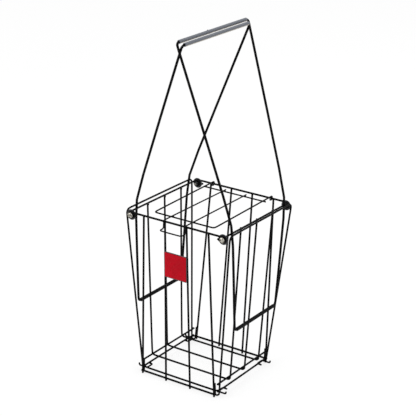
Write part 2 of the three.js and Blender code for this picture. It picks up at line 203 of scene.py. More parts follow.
def dark_steel_material(settings):
    """Black oxide steel, machined and oiled: a dull blue-black with lighter worn grain."""
    material, tree, principled, at = new_material("black_oxide_steel", {"Metallic": 0.7})
    grain = node(tree, NOISE, {"Scale": per_mm(1.1), "Detail": 5}, {"Vector": at}).outputs["Fac"]
    stops = [(0.3, settings.steel_colour), (0.75, srgb("#4a4b4e"))]
    colour = node(tree, RAMP, links={"Fac": grain}, stops=stops)
    rough = node(tree, RAMP, links={"Fac": grain}, stops=[(0.3, grey(0.38)), (0.8, grey(0.6))])
    bump = node(tree, BUMP, {"Strength": 0.4, "Distance": 0.03 * MM}, {"Height": grain})
    link(tree, principled, {"Base Color": colour.outputs["Color"], "Roughness": rough.outputs["Color"]})
    link(tree, principled, {"Normal": bump.outputs["Normal"]})
    return material


def grip_material(settings):
    """Grey-blue PVC grip tube, extruded: fine slanting ribs wind round it with painted shade in their
    hollows, matt with a soft bloom.
    """
    material, tree, principled, at = new_material(
        "ribbed_pvc_tube", {"IOR": 1.53, "Sheen Weight": 0.15, "Sheen Roughness": 0.5}
    )
    slant = {"Rotation": (0, 0, math.radians(38))}
    slanted = node(tree, "ShaderNodeMapping", slant, {"Vector": at}).outputs["Vector"]
    # Ribs 2.6 mm apart across the slant, as coarse as the eye can part them at arm's length
    waves = {"Scale": per_mm(2.6) / math.pi, "Distortion": 0.4}
    ribs = node(tree, "ShaderNodeTexWave", waves, {"Vector": slanted}).outputs["Fac"]
    bloom = node(tree, NOISE, {"Scale": per_mm(12), "Detail": 4}, {"Vector": at}).outputs["Fac"]
    # Painted shade: the hollows between the ribs are darker than their crests
    stops = [(0.15, settings.grip_rib_shade), (0.75, settings.grip_colour)]
    hollow_shade = node(tree, RAMP, links={"Fac": ribs}, stops=stops)
    dust = node(tree, RAMP, links={"Fac": bloom}, stops=[(0.4, grey(0)), (0.8, grey(0.35))])
    rough = node(tree, RAMP, links={"Fac": bloom}, stops=[(0.3, grey(0.5)), (0.7, grey(0.68))])
    bump = node(tree, BUMP, {"Strength": 0.35, "Distance": 0.05 * MM}, {"Height": ribs})
    colour = node(
        tree,
        "ShaderNodeMix",
        {"B": srgb("#62666f")},
        {"Factor": dust.outputs["Color"], "A": hollow_shade.outputs["Color"]},
        data_type="RGBA",
    )
    link(tree, principled, {"Base Color": colour.outputs["Result"], "Roughness": rough.outputs["Color"]})
    link(tree, principled, {"Normal": bump.outputs["Normal"]})
    return material


def edge_highlight_material(settings):
    """Cream strips along the grip tube's edges, painted highlights: matt and slightly mottled."""
    material, tree, principled, at = new_material("cream_painted_highlight", {"IOR": 1.53, "Roughness": 0.6})
    mottle = node(tree, NOISE, {"Scale": per_mm(3), "Detail": 3}, {"Vector": at}).outputs["Fac"]
    stops = [(0.3, srgb("#a39a88")), (0.7, settings.edge_highlight_colour)]
    colour = node(tree, RAMP, links={"Fac": mottle}, stops=stops)
    bump = node(tree, BUMP, {"Strength": 0.4, "Distance": 0.05 * MM}, {"Height": mottle})
    link(tree, principled, {"Base Color": colour.outputs["Color"], "Normal": bump.outputs["Normal"]})
    return material


def sleeve_material(settings):
    """Black EPDM tube, extruded and cut: matt with fine pores and a grey bloom."""
    material, tree, principled, at = new_material(
        "extruded_epdm_tube", {"IOR": 1.52, "Specular IOR Level": 0.08}
    )
    pores = node(tree, "ShaderNodeTexVoronoi", {"Scale": per_mm(1.2)}, {"Vector": at}).outputs["Distance"]
    bloom = node(tree, NOISE, {"Scale": per_mm(14), "Detail": 4}, {"Vector": at}).outputs["Fac"]
    stops = [(0.35, settings.sleeve_colour), (0.75, srgb("#0d0d0e"))]
    colour = node(tree, RAMP, links={"Fac": bloom}, stops=stops)
    rough = node(tree, RAMP, links={"Fac": bloom}, stops=[(0.3, grey(0.62)), (0.7, grey(0.8))])
    bump = node(tree, BUMP, {"Strength": 0.5, "Distance": 0.08 * MM}, {"Height": pores})
    link(tree, principled, {"Base Color": colour.outputs["Color"], "Roughness": rough.outputs["Color"]})
    link(tree, principled, {"Normal": bump.outputs["Normal"]})
    return material


def badge_material(settings):
    """Red ABS badge, injection moulded and lacquered: deep colour, clear coat and faint sink marks."""
    material, tree, principled, at = new_material(
        "lacquered_red_abs",
        {
            "IOR": 1.53,
            "Roughness": 0.4,
            "Specular IOR Level": 0.05,
            "Coat Weight": 0.02,
            "Coat Roughness": 0.1,
        },
    )
    sink = node(tree, NOISE, {"Scale": per_mm(18), "Detail": 2}, {"Vector": at}).outputs["Fac"]
    dust = node(tree, NOISE, {"Scale": per_mm(0.9), "Detail": 3}, {"Vector": at}).outputs["Fac"]
    stops = [(0.3, settings.badge_shade), (0.7, settings.badge_colour)]
    colour = node(tree, RAMP, links={"Fac": sink}, stops=stops)
    bump = node(tree, BUMP, {"Strength": 0.3, "Distance": 0.02 * MM}, {"Height": dust})
    link(tree, principled, {"Base Color": colour.outputs["Color"], "Normal": bump.outputs["Normal"]})
    return material


def badge_frame_material(settings):
    """Black ABS surround of the badge, spark-eroded mould grain: satin with a fine even tooth."""
    material, tree, principled, at = new_material("grained_black_abs", {"IOR": 1.53, "Roughness": 0.45})
    grain = node(tree, NOISE, {"Scale": per_mm(0.7), "Detail": 3}, {"Vector": at}).outputs["Fac"]
    stops = [(0.3, srgb("#141315")), (0.7, settings.surround_colour)]
    colour = node(tree, RAMP, links={"Fac": grain}, stops=stops)
    bump = node(tree, BUMP, {"Strength": 0.5, "Distance": 0.04 * MM}, {"Height": grain})
    link(tree, principled, {"Base Color": colour.outputs["Color"], "Normal": bump.outputs["Normal"]})
    return material


MAKERS = {
    "wire": coated_wire_material,
    "chrome": chrome_material,
    "steel": dark_steel_material,
    "grip": grip_material,
    "edge_highlight": edge_highlight_material,
    "sleeve": sleeve_material,
    "badge": badge_material,
    "badge_frame": badge_frame_material,
}
MADE = {}


def finish_of(kind):
    """The material of a kind, made once."""
    if kind not in MADE:
        MADE[kind] = MAKERS[kind](bpy.context.scene.hopper_colours)
    return MADE[kind]


# Modelling helpers


def deselect():
    if bpy.context.object and bpy.context.object.mode != "OBJECT":
        bpy.ops.object.mode_set(mode="OBJECT")
    bpy.ops.object.select_all(action="DESELECT")


def only(obj):
    """Makes one object the selected and active one."""
    deselect()
    obj.select_set(True)
    bpy.context.view_layer.objects.active = obj


def in_edit(obj, action):
    """Runs an action in edit mode with the whole mesh selected."""
    only(obj)
    bpy.ops.object.mode_set(mode="EDIT")
    bpy.ops.mesh.select_all(action="SELECT")
    action()
    bpy.ops.object.mode_set(mode="OBJECT")


def outward(obj):
    """Merges doubles and turns every face outwards."""

    def action():
        bpy.ops.mesh.remove_doubles(threshold=0.01 * MM)
        bpy.ops.mesh.normals_make_consistent(inside=False)

    in_edit(obj, action)
    return obj


def apply_modifiers(obj):
    only(obj)
    for modifier in list(obj.modifiers):
        bpy.ops.object.modifier_apply(modifier=modifier.name)
    return obj


def smooth(obj, angle=40):
    only(obj)
    bpy.ops.object.shade_smooth_by_angle(angle=math.radians(angle))
    return obj


def bevelled(obj, width_mm, segments=2, angle=35):
    modifier = obj.modifiers.new("edge", "BEVEL")
    modifier.width = width_mm * MM
    modifier.segments = segments
    modifier.limit_method = "ANGLE"
    modifier.angle_limit = math.radians(angle)
    return apply_modifiers(obj)


def dress(obj, name, kind, body, replaces=()):
    """Names a finished piece, gives it its finish and ties it to its body."""
    obj.name = name
    obj.data.name = name
    obj.data.materials.clear()
    obj.data.materials.append(finish_of(kind))
    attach(obj, body)
    if replaces:
        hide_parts(*replaces)


def joined(parts):
    """One object from several."""
    deselect()
    for part in parts:
        part.select_set(True)
    bpy.context.view_layer.objects.active = parts[0]
    bpy.ops.object.join()
    return parts[0]


def new_object(name, data):
    """An object in the scene."""
    obj = bpy.data.objects.new(name, data)
    bpy.context.scene.collection.objects.link(obj)
    return obj


def copy_of(name):
    """A loose copy of a CAD node, with its own mesh."""
    return new_object(name + "_copy", NODES[name].data.copy())


def turned(profile, steps):
    """A piece turned about Z from (radius, height) points. A hollow one ends where it starts."""
    mesh = bpy.data.meshes.new("turned")
    edges = [(i, i + 1) for i in range(len(profile) - 1)]
    mesh.from_pydata([(radius, 0, height) for radius, height in profile], edges, [])
    obj = new_object("turned", mesh)
    in_edit(obj, lambda: bpy.ops.mesh.spin(steps=steps, angle=2 * math.pi, center=(0, 0, 0), axis=(0, 0, 1)))
    return outward(obj)


def lay_along_y(obj, at, way=1):
    """Turns a piece made about Z to lie along Y, and takes it to its place."""
    obj.data.transform(Matrix.Translation(at) @ Matrix.Rotation(way * math.pi / 2, 4, "X"))


def round_wire(name):
    """A smooth round wire from the faceted one: quads, chamfered cut ends and one level of subdivision."""
    obj = copy_of(name)
    sizes = bpy.context.scene.hopper_sizes
    coat = {
        "handle": sizes.handle_dip,
        "side_frame": 0,
        "latch": -sizes.latch_inset,
        "lid": sizes.lid_dip,
    }
    dip = next((coat[word] for word in coat if word in name), sizes.wire_dip)

    def action():
        bpy.ops.mesh.remove_doubles(threshold=0.02 * MM)
        bpy.ops.mesh.tris_convert_to_quads(
            face_threshold=math.radians(25), shape_threshold=math.radians(180)
        )
        # The subdivided surface lies inside the facets' corners, so they are moved out by that much first
        bpy.ops.transform.shrink_fatten(value=sizes.wire_growth + dip)

    in_edit(obj, action)
    mesh = bmesh.new()
    mesh.from_mesh(obj.data)
    # Each flat cut end becomes one face, or subdividing would leave a star on it
    flat, sharp = math.radians(1), math.radians(60)
    turns = {face: [edge.calc_face_angle(0) for edge in face.edges] for face in mesh.faces}
    cuts = [face for face in mesh.faces if all(turn < flat or turn > sharp for turn in turns[face])]
    bmesh.ops.dissolve_faces(mesh, faces=cuts, use_verts=False)
    rims = [edge for edge in mesh.edges if edge.calc_face_angle(0) > sharp]
    made = bmesh.ops.bevel(mesh, geom=rims, offset=sizes.cut_chamfer, segments=1, affect="EDGES")
    chamfer = set(made["faces"])
    # The long runs would pull the ends in, so both rings of a chamfer are held by a full crease
    creases = mesh.edges.layers.float.get("crease_edge") or mesh.edges.layers.float.new("crease_edge")
    for edge in mesh.edges:
        if sum(face in chamfer for face in edge.link_faces) == 1:
            edge[creases] = 1
    mesh.to_mesh(obj.data)
    mesh.free()
    modifier = obj.modifiers.new("round", "SUBSURF")
    modifier.levels = modifier.render_levels = 1
    apply_modifiers(obj)
    return smooth(obj, 50)


def swept_wire(points, diameter):
    """A round wire with flat ends along a list of points."""
    curve = bpy.data.curves.new("swept", "CURVE")
    curve.dimensions = "3D"
    curve.bevel_depth = diameter / 2
    curve.bevel_resolution = 4
    curve.use_fill_caps = True
    line = curve.splines.new("POLY")
    line.points.add(len(points) - 1)
    for place, point in zip(line.points, points):
        place.co = (*point, 1)
    only(new_object("swept", curve))
    bpy.ops.object.convert(target="MESH")
    return bpy.context.object


def bead_size(place, sizes):
    """The length and the width of the weld beads at a place."""
    length, width = sizes.weld_length, sizes.weld_width
    return {
        "upright": (length, width),
        "rail": (length, 0.9 * width),
        "corner": (0.8 * length, width),
        "tip": (0.7 * length, 0.8 * sizes.panel_wire),
        "foot": (length, 0.8 * width),
        "ring": (0.75 * length, 0.8 * width),
        "catch": (0.75 * length, 0.75 * width),
        "lid": (1.5 * sizes.lid_wire, 1.2 * sizes.lid_wire),
    }[place]


def bead(place, at, along):
    """A weld bead drowned in the coating: a slightly uneven drop laid along a direction."""
    deselect()
    bpy.ops.mesh.primitive_ico_sphere_add(subdivisions=3, radius=0.5)
    drop = bpy.context.object
    for vertex in drop.data.vertices:
        x, y, z = vertex.co
        # The place is in the waves too, so no two beads are alike
        lump = math.sin(9 * x + 700 * at.x) * math.cos(7 * y + 500 * at.y)
        vertex.co *= 1 + 0.05 * lump + 0.03 * math.sin(11 * z)
    length, width = bead_size(place, bpy.context.scene.hopper_sizes)
    turn = X.rotation_difference(along.normalized()).to_matrix().to_4x4()
    drop.data.transform(Matrix.Translation(at) @ turn @ Matrix.Diagonal((length, width, width, 1)))
    return drop


# User settings


def length_property(name, description, default):
    return bpy.props.FloatProperty(name=name, description=description, default=default, unit="LENGTH")


def colour_property(name, description, hex_colour):
    return bpy.props.FloatVectorProperty(
        name=name, description=description, default=srgb(hex_colour), subtype="COLOR", size=4, min=0, max=1
    )


class HopperSizes(bpy.types.PropertyGroup):
    """Sizes of the pieces that dress the frame, and where the camera stands."""

    wire_growth: length_property("Wire growth", "How far the facets move out before smoothing", 0.07 * MM)
    handle_dip: length_property("Handle dip", "Coating on the handle wires", 0.2 * MM)
    wire_dip: length_property("Basket dip", "Coating on the inner wires of the basket", 0.18 * MM)
    lid_dip: length_property("Lid dip", "Coating on the lid's wires", 0.12 * MM)
    latch_inset: length_property("Latch inset", "How far the latch wire's surface is drawn in", 0.05 * MM)
    weld_length: length_property("Weld length", "Length of a full weld bead", 6.4 * MM)
    weld_width: length_property("Weld width", "Width of a full weld bead", 4.6 * MM)
    panel_wire: length_property("Panel wire", "Its coated diameter", 4.4 * MM)
    lid_wire: length_property("Lid wire", "Its diameter", 3.2 * MM)
    catch_wire: length_property("Catch wire", "Its diameter", 3.4 * MM)
    inner_upright_top: length_property("Inner upright top", "Distance from the middle at the rim", 26.7 * MM)
    inner_upright_foot: length_property(
        "Inner upright foot", "Distance from the middle on the floor", 31 * MM
    )
    outer_upright_top: length_property("Outer upright top", "Distance from the middle at the rim", 80 * MM)
    outer_upright_foot: length_property(
        "Outer upright foot", "Distance from the middle on the floor", 92.5 * MM
    )
    bottom_wire_height: length_property("Bottom wire", "Its height above the floor", 6 * MM)
    bottom_wire_overhang: length_property("Bottom wire overhang", "Beyond the outer uprights", 3 * MM)
    cut_chamfer: length_property("Cut end", "How far the coating rounds a cut end", 0.4 * MM)
    cut_slant: length_property("Foot cut", "How far a leaning cut end reaches down", 0.2 * MM)
    hairpin_rise: length_property("Hairpin rise", "Height of the hairpin's inner leg", 31 * MM)
    ring_bend: length_property("Ring bend", "Radius of the base ring's bends", 10 * MM)
    latch_splay: length_property("Latch splay", "How far a latch wire leans outwards per third", 0.5 * MM)
    badge_frame: length_property("Badge surround", "Width of the dark surround", 1.6 * MM)
    # Painted highlight: width of the cream strip along the grip's edge
    edge_highlight_width: length_property("Grip seam", "Width of the grip tube's cream seam", 1.1 * MM)
    camera_height: length_property("Camera height", "Height of the camera above the floor", 1.44735)


class HopperColours(bpy.types.PropertyGroup):
    """Colours of the finishes, given as sRGB hex values."""

    wire_colour: colour_property("Wire", "Coating of the wires", "#040405")
    wire_scuff: colour_property("Scuffs", "Rubbed high spots of the coating", "#161617")
    bolt_colour: colour_property("Bolt heads", "Plated domes", "#aeaba2")
    # Painted reflection: the dark patches that mottle the plated domes
    bolt_dark_reflection: colour_property("Bolt stains", "Weathered patches of the domes", "#4a4741")
    steel_colour: colour_property("Washers", "Black washers and nuts", "#1b1c1f")
    grip_colour: colour_property("Grip", "Grip tube", "#50555f")
    # Painted shade in the hollows between the grip's ribs
    grip_rib_shade: colour_property("Grip ribs", "Hollows between the grip's ribs", "#464b54")
    # Painted highlight: colour of the cream strips along the grip's edges
    edge_highlight_colour: colour_property("Grip seam", "Seam along the grip tube", "#c9bfa9")
    sleeve_colour: colour_property("Sleeve", "Crossbar sleeve", "#050506")
    badge_colour: colour_property("Badge", "Face of the badge", "#ac0016")
    badge_shade: colour_property("Badge shade", "Darker parts of the badge", "#9d0013")
    surround_colour: colour_property("Badge surround", "Dark edge of the badge", "#252326")
    floor_colour: colour_property("Floor", "Studio floor and backdrop", "#f4f4f4")


# Places on the frame


class Wall:
    """One end wall of the basket: its plane, its rim wire and its uprights."""

    # The steps round a corner bolt, the turn of each, and the tail's length in radii of the eye
    EYE_STEPS, EYE_STEP, EYE_TAIL = 24, math.radians(9), 1.6

    def __init__(self, end, sizes):
        low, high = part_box(end + "_panel")
        out = end_sign(end)
        bolt = middle("corner_bolt_" + end + "_right")
        self.wire = sizes.panel_wire
        self.rim_y = (high.y if out > 0 else low.y) - out * self.wire / 2
        self.foot_y = (low.y if out > 0 else high.y) + out * self.wire / 2
        self.bolt = Vector((bolt.x, self.rim_y, bolt.z))
        self.eye = high.x - self.wire / 2 - bolt.x
        self.rim_z = bolt.z + self.eye
        self.bottom_z = sizes.bottom_wire_height
        self.lean = math.atan2(self.foot_y - self.rim_y, bolt.z)
        self.outer = [(sign * sizes.outer_upright_foot, sign * sizes.outer_upright_top) for sign in (-1, 1)]
        inner = [(sign * sizes.inner_upright_foot, sign * sizes.inner_upright_top) for sign in (-1, 1)]
        self.uprights = self.outer + inner
        self.reach = sizes.outer_upright_foot + sizes.bottom_wire_overhang

    def y(self, z):
        return self.foot_y + (self.rim_y - self.foot_y) * z / self.bolt.z

    def on_upright(self, foot, top, z):
        """The point of an upright at height z."""
        return Vector((foot + (top - foot) * z / self.rim_z, self.y(z), z))

    def eye_path(self, sign):
        """The wire's eye round one corner bolt, from the rim on, with its tail turned up."""
        path = []
        for step in range(self.EYE_STEPS + 1):
            angle = math.pi / 2 - self.EYE_STEP * step
            x = self.bolt.x + self.eye * math.cos(angle)
            path.append(Vector((sign * x, self.rim_y, self.bolt.z + self.eye * math.sin(angle))))
        heading = (path[-1] - path[-2]).normalized()
        return path + [path[-1] + heading * self.EYE_TAIL * self.eye]

    def rim_path(self):
        """The rim wire: from the end of one eye, straight across, to the end of the other."""
        return self.eye_path(1)[::-1] + self.eye_path(-1)


# Operators


class HOPPER_OT_wires(bpy.types.Operator):
    """Makes every bent wire round and gives it the dipped coating"""

    bl_idname = "hopper.wires"
    bl_label = "Coated wires"

    def execute(self, context):
        for name in WIRE_NODES:
            dress(round_wire(name), name + "_coated", "wire", BODY_OF[name], [name])
        return {"FINISHED"}


class HOPPER_OT_panels(bpy.types.Operator):
    """Builds the two end walls from their rim wire, uprights and bottom wire, welded at every crossing"""

    bl_idname = "hopper.panels"
    bl_label = "Front and back panel"

    def execute(self, context):
        sizes = context.scene.hopper_sizes
        for end in ENDS:
            wall = Wall(end, sizes)
            bottom = [Vector((x, wall.y(wall.bottom_z), wall.bottom_z)) for x in (-wall.reach, wall.reach)]
            parts = [swept_wire(wall.rim_path(), wall.wire), swept_wire(bottom, wall.wire)]
            for foot, top in wall.uprights:
                line = [wall.on_upright(foot, top, z) for z in (sizes.cut_slant, wall.rim_z)]
                parts.append(swept_wire(line, wall.wire))
                for z in (wall.bottom_z, wall.rim_z - wall.wire / 4):
                    parts.append(bead("upright", wall.on_upright(foot, top, z), Z))
            panel = smooth(joined(parts), 50)
            dress(panel, end + "_panel_coated", "wire", "basket", [end + "_panel"])
        return {"FINISHED"}


class HOPPER_OT_welds(bpy.types.Operator):
    """Lays the coated weld beads where the other wires of the basket and of the lid touch"""

    bl_idname = "hopper.welds"
    bl_label = "Weld beads"

    def execute(self, context):
        sizes = context.scene.hopper_sizes
        basket = self.floor(sizes) + self.feet(sizes) + self.ring(sizes)
        for body, beads in (("basket", basket), ("lid", self.lid(sizes))):
            weld = smooth(joined(beads), 60)
            dress(weld, body + "_weld_beads", "wire", body)
        return {"FINISHED"}

    def floor(self, sizes):
        """The hoops under the rails, their tips beside the guide wires, and the rails behind the corners."""
        beads = []
        half = sizes.panel_wire / 2
        for side in SIDES:
            sign = side_sign(side)
            rail_low, rail_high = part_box(side + "_bottom_rail")
            rail = middle(side + "_bottom_rail")
            guide = middle(side + "_guide_wire")
            guide_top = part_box(side + "_guide_wire")[1].z
            for place, lean in HOOPS.items():
                low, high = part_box("floor_hoop_" + place)
                # A leaning hoop's tops are at the outer side of its box, and its feet at the inner side
                lean_y = lean * ((high.y - low.y) / 2 - half)
                feet_y, tops_y = (low.y + high.y) / 2 - lean_y, (low.y + high.y) / 2 + lean_y
                # The bead lies in the notch between the two wires, less than a wire's radius from the rail
                under = Vector((rail.x + sign * 0.7 * half, feet_y, rail.z - 0.9 * half))
                beads.append(bead("rail", under, Y))
                # Each hoop's tip runs on beside the guide wire, welded to it
                tip = Vector((sign * (high.x - half), tops_y, high.z - half))
                beads.append(swept_wire([tip, Vector((tip.x, tip.y, guide_top))], sizes.panel_wire))
                between = Vector(((tip.x + guide.x) / 2, tip.y, guide_top - 1.9 * half))
                beads.append(bead("tip", between, Y))
            for y in (rail_low.y + half, rail_high.y - half):
                beads.append(bead("corner", Vector((rail.x + sign * half, y, rail.z)), Z))
        return beads

    def feet(self, sizes):
        """The hairpin feet behind the outer uprights."""
        beads = []
        for end in ENDS:
            wall = Wall(end, sizes)
            behind = Vector((0, -end_sign(end) * wall.wire / 2, 0))
            for foot, top in wall.outer:
                for z in (wall.bottom_z, sizes.hairpin_rise - wall.wire):
                    beads.append(bead("foot", wall.on_upright(foot, top, z) + behind, Z))
        return beads

    def ring(self, sizes):
        """The base ring inside the hairpins, and the catches under the ring."""
        low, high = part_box("base_ring")
        z = (low.z + high.z) / 2
        # How far the middle of a bend is from the corner of the box
        inset = sizes.ring_bend * (1 - math.sqrt(0.5))
        beads = []
        for corner in CORNERS:
            x_sign, y_sign = side_sign(corner), end_sign(corner)
            ring_x = high.x if x_sign > 0 else low.x
            ring_y = high.y if y_sign > 0 else low.y
            # The bend touches both legs of the hairpin, to each side of its middle
            for x_share, y_share in ((1, 0.35), (0.35, 1)):
                at = Vector((ring_x - x_sign * inset * x_share, ring_y - y_sign * inset * y_share, z))
                beads.append(bead("ring", at, Z))
            catch_low, catch_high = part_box("ring_catch_" + corner)
            half = sizes.catch_wire / 2
            for y in (catch_low.y + half, catch_high.y - half):
                beads.append(bead("catch", Vector((ring_x - x_sign * sizes.panel_wire / 2, y, low.z)), X))
        return beads

    def lid(self, sizes):
        """The latch wire over the front bar and over the rear bar, and the rear bar under the arms."""
        frame_low, frame_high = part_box("lid_frame")
        latch_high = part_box("lid_latch_wire")[1]
        bar_y = middle("lid_rear_bar").y
        bar_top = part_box("lid_rear_bar")[1].z
        half = sizes.lid_wire / 2
        beads = []
        for sign in (-1, 1):
            arm = sign * (frame_high.x - half)
            front = sign * (latch_high.x - half - sizes.latch_splay)
            rear = sign * (latch_high.x - half - 2 * sizes.latch_splay)
            for at in (
                (arm, bar_y, bar_top),
                (rear, bar_y, bar_top),
                (front, frame_low.y + half, latch_high.z - sizes.lid_wire),
            ):
                beads.append(bead("lid", Vector(at), Y))
        return beads


# The bolt's dome: shares of its radius, and millimetres down from its top
DOME = ((0, 0), (0.45, 0.25), (0.75, 1.1), (0.94, 2.6), (1, 3.4), (0.99, 4.1), (0.95, 4.4))
# The bore of the washers, and of the grips and sleeves on the handle wires
WASHER_BORE = 2.8 * MM
TUBE_BORE = 2.8 * MM


class HOPPER_OT_fastenings(bpy.types.Operator):
    """Gives the corner bolts their domed heads, washers and nuts"""

    bl_idname = "hopper.fastenings"
    bl_label = "Corner fastenings"

    def execute(self, context):
        for corner in CORNERS:
            self.bolt(corner)
            self.washer(corner)
            self.nut(corner)
        return {"FINISHED"}

    def bolt(self, corner):
        """A domed bolt: spun head with a rolled rim, and a threaded shank."""
        name = "corner_bolt_" + corner
        low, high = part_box(name)
        at = middle(name)
        out = end_sign(corner)
        at.y = high.y if out > 0 else low.y
        length = high.y - low.y
        radius = (high.x - low.x) / 2
        dome = DOME[-1][1] * MM
        shank, neck = 2.5 * MM, 7.5 * MM
        pitch, groove = 0.8 * MM, 0.42 * MM
        profile = [(radius * share, -drop * MM) for share, drop in DOME]
        # A fillet under the head, the thread below the plain neck, and a chamfered tip
        profile += [(shank + 0.3 * MM, -dome), (shank, -dome - 0.4 * MM)]
        z = -dome - neck
        while z > pitch - length:
            profile += [(shank, z), (shank - groove, z - pitch / 2)]
            z -= pitch
        profile += [(shank, 0.6 * MM - length), (shank - 0.7 * MM, -length), (0, -length)]
        bolt = turned(profile, 40)
        lay_along_y(bolt, at, -out)
        smooth(bolt, 30)
        dress(bolt, "domed_bolt_" + corner, "chrome", "basket", [name])

    def washer(self, corner):
        """A pressed washer with rolled edges."""
        name = "corner_washer_" + corner
        low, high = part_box(name)
        radius = (high.x - low.x) / 2
        half = (high.y - low.y) / 2
        roll = 0.25 * MM
        profile = [(WASHER_BORE, half), (radius - roll, half), (radius, half - roll)]
        profile += [(radius, roll - half), (radius - roll, -half), (WASHER_BORE, -half), profile[0]]
        washer = turned(profile, 48)
        lay_along_y(washer, (low + high) / 2)
        smooth(washer, 30)
        dress(washer, "pressed_washer_" + corner, "steel", "basket", [name])

    def nut(self, corner):
        """A hexagon nut with chamfered corners and a raised locking collar."""
        name = "corner_nut_" + corner
        nut = smooth(bevelled(outward(copy_of(name)), 0.45), 25)
        low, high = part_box(name)
        at = middle(name)
        at.y = low.y if end_sign(corner) > 0 else high.y
        deselect()
        bpy.ops.mesh.primitive_torus_add(
            major_radius=3.25 * MM, minor_radius=0.42 * MM, major_segments=32, minor_segments=10
        )
        collar = bpy.context.object
        lay_along_y(collar, at)
        dress(joined([nut, collar]), "locking_nut_" + corner, "steel", "basket", [name])


class HOPPER_OT_grips(bpy.types.Operator):
    """Models the two grip tubes with their cream painted highlight strips and the sleeves on the crossbars"""

    bl_idname = "hopper.grips"
    bl_label = "Grips and sleeves"

    def execute(self, context):
        for side in SIDES:
            self.grip(side, context.scene.hopper_sizes)
            self.sleeve(side)
        return {"FINISHED"}

    def tube(self, name, sections, waist):
        """A hollow tube along Y in a node's box, with rolled ends and a shallow waist at every other ring."""
        low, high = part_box(name)
        radius = min(high.x - low.x, high.z - low.z) / 2
        length = high.y - low.y
        half = length / 2
        roll = 0.9 * MM
        # The rolled end: distances in from the side and from the end, as shares of the roll
        end = [(radius - side * roll, half - tip * roll) for side, tip in ((1, 0), (0.3, 0.2), (0, 1))]
        profile = list(end)
        for i in range(1, sections):
            z = half - roll - (length - 2 * roll) * i / sections
            profile.append((radius - (waist if i % 2 else 0), z))
        profile += [(x, -z) for x, z in reversed(end)]
        profile += [(TUBE_BORE, -half), (TUBE_BORE, half), profile[0]]
        tube = turned(profile, 32)
        lay_along_y(tube, (low + high) / 2)
        return smooth(tube, 45)

    def grip(self, side, sizes):
        name = side + "_grip"
        body = side + "_handle"
        dress(self.tube(name, 48, 0.06 * MM), name + "_tube", "grip", body, [name])
        low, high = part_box(name)
        at = (low + high) / 2
        radius = (high.x - low.x) / 2
        length = high.y - low.y - 2.4 * MM
        # Two cream strips run along opposite edges of the tube: painted highlights
        highlight_strips = []
        lean = math.radians(28)
        for way in (-1, 1):
            deselect()
            bpy.ops.mesh.primitive_cube_add(size=1)
            strip = bpy.context.object
            strip.data.transform(Matrix.Diagonal((0.5 * MM, length, sizes.edge_highlight_width, 1)))
            bevelled(strip, 0.16)
            out = Vector((way * math.cos(lean), 0, -way * math.sin(lean)))
            turn = Matrix.Rotation(lean, 4, "Y")
            strip.data.transform(Matrix.Translation(at + out * (radius - 0.06 * MM)) @ turn)
            highlight_strips.append(strip)
        edge_highlight = smooth(joined(highlight_strips))
        if side == "right":
            self.stud(at, radius)
        dress(edge_highlight, name + "_seams", "edge_highlight", body)

    def stud(self, at, radius):
        """The small moulded stud on the far shoulder of the upper grip."""
        deselect()
        bpy.ops.mesh.primitive_cylinder_add(vertices=24, radius=2.2 * MM, depth=2 * MM)
        stud = bpy.context.object
        stud.data.transform(Matrix.Translation((0, -16 * MM, radius + 0.2 * MM)))
        stud.data.transform(Matrix.Translation(at) @ Matrix.Rotation(math.radians(-66), 4, "Y"))
        smooth(bevelled(stud, 0.6, 3))
        dress(stud, "right_grip_stud", "sleeve", "right_handle")

    def sleeve(self, side):
        name = side + "_crossbar_sleeve"
        tube = self.tube(name, 30, 0.05 * MM)
        dress(tube, side + "_rubber_sleeve", "sleeve", side + "_handle", [name])


class HOPPER_OT_badge(bpy.types.Operator):
    """Gives the plain badge its moulded edge, lacquered face and dark surround"""

    bl_idname = "hopper.badge"
    bl_label = "Badge plate"

    def execute(self, context):
        plate = outward(copy_of("badge_plate"))
        in_edit(plate, lambda: bpy.ops.mesh.dissolve_limited(angle_limit=math.radians(1)))
        smooth(bevelled(plate, 0.35, 3, 50), 35)
        dress(plate, "badge_body", "badge_frame", "basket", ["badge_plate"])
        self.face(context.scene.hopper_sizes)
        return {"FINISHED"}

    def face(self, sizes):
        """The lacquered face: a panel let into the surround, with a soft pillow."""
        low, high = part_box("badge_plate")
        lean = Wall("front", sizes).lean
        width = (high.x - low.x) - 2 * sizes.badge_frame
        height = (high.z - low.z) / math.cos(lean) - 2 * sizes.badge_frame
        deselect()
        bpy.ops.mesh.primitive_grid_add(x_subdivisions=24, y_subdivisions=24, size=1)
        face = bpy.context.object
        for vertex in face.data.vertices:
            x, y = vertex.co.x * 2, vertex.co.y * 2
            pillow = 0.35 * MM * (1 - x**4) * (1 - y**4)
            vertex.co = Vector((vertex.co.x * width, vertex.co.y * height, pillow))
        modifier = face.modifiers.new("wall", "SOLIDIFY")
        modifier.thickness = 0.5 * MM
        modifier.offset = -1
        apply_modifiers(face)
        bevelled(outward(face), 0.2, 2, 60)
        # The plate leans with the wall, so its outer face at half height is found from its top edge
        at = middle("badge_plate")
        at.y = low.y + (high.z - at.z) * math.tan(lean)
        out = Vector((0, -math.cos(lean), -math.sin(lean)))
        turn = Matrix.Rotation(math.pi / 2 + lean, 4, "X")
        face.data.transform(Matrix.Translation(at + out * 0.42 * MM) @ turn)
        smooth(face)
        dress(face, "badge_face", "badge", "basket")


